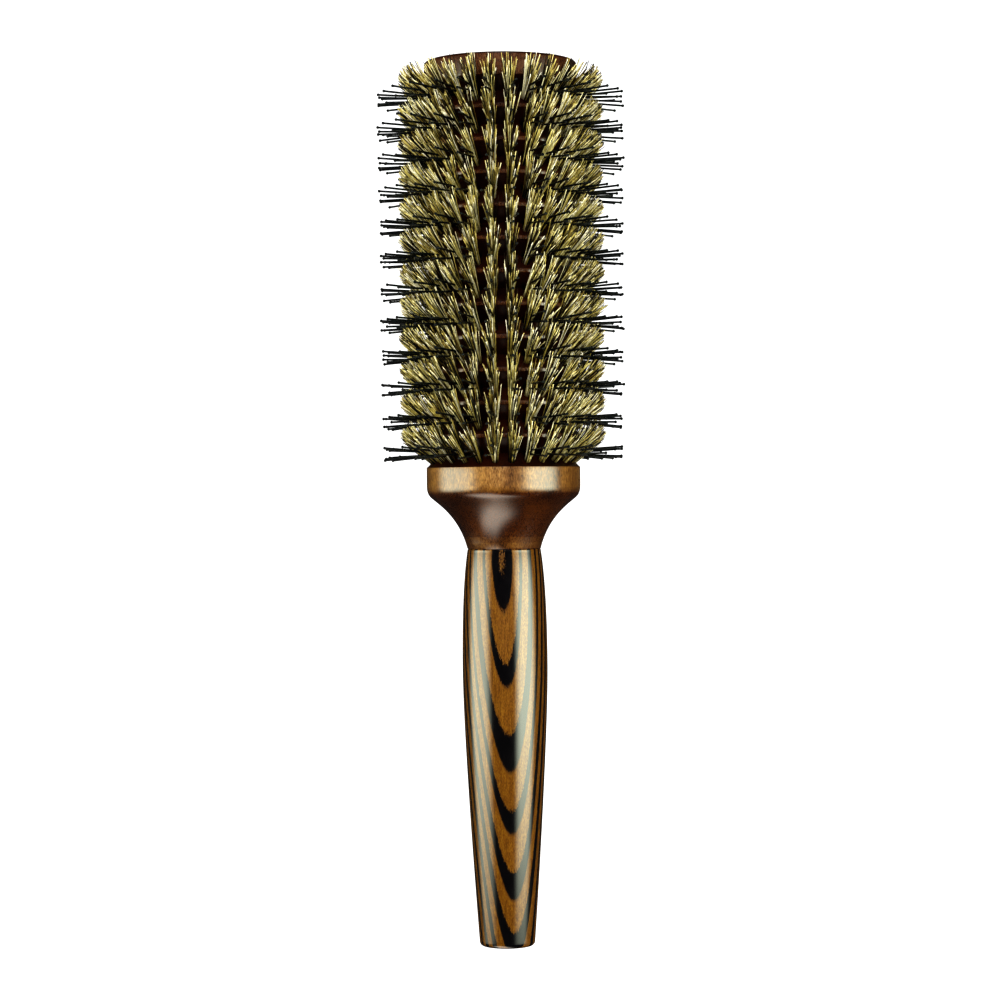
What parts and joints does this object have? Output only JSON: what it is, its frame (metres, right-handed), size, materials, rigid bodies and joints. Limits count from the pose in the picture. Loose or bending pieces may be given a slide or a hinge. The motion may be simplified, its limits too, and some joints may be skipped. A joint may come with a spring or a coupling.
{
  "type": "round barrel hairbrush",
  "caption": "Round hairbrush: grooved wooden barrel ringed with slanted natural-bristle tufts and straight nylon pins, flared neck, tapered laminated wooden handle.",
  "frame": {"origin": "centre of the handle's flat end, on the brush's axis", "axes": "+Z along the brush's axis from the handle's end to the barrel's top; -Y faces the side between two columns of tufts; +X to the right of that side"},
  "size_m": [0.0702, 0.0702, 0.25],
  "materials": {
    "barrel_wood": "dark red-brown stained wood under clear gloss lacquer",
    "handle_wood": "laminated black and orange-brown dyed veneers under clear gloss lacquer",
    "boar_bristle": "natural straw-coloured bristle with some dark strands, satin",
    "nylon_pin": "black nylon pins with small ball tips, semi-gloss"
  },
  "bodies": {
    "root": {"barrel": "barrel_wood", "handle": "handle_wood", "boar_row_01": "boar_bristle", "boar_row_02": "boar_bristle", "boar_row_03": "boar_bristle", "boar_row_04": "boar_bristle", "boar_row_05": "boar_bristle", "boar_row_06": "boar_bristle", "boar_row_07": "boar_bristle", "boar_row_08": "boar_bristle", "boar_row_09": "boar_bristle", "boar_row_10": "boar_bristle", "boar_row_11": "boar_bristle", "boar_row_12": "boar_bristle", "nylon_row_01": "nylon_pin", "nylon_row_02": "nylon_pin", "nylon_row_03": "nylon_pin", "nylon_row_04": "nylon_pin", "nylon_row_05": "nylon_pin", "nylon_row_06": "nylon_pin", "nylon_row_07": "nylon_pin", "nylon_row_08": "nylon_pin", "nylon_row_09": "nylon_pin", "nylon_row_10": "nylon_pin", "nylon_row_11": "nylon_pin", "nylon_row_12": "nylon_pin"}
  },
  "joints": []
}
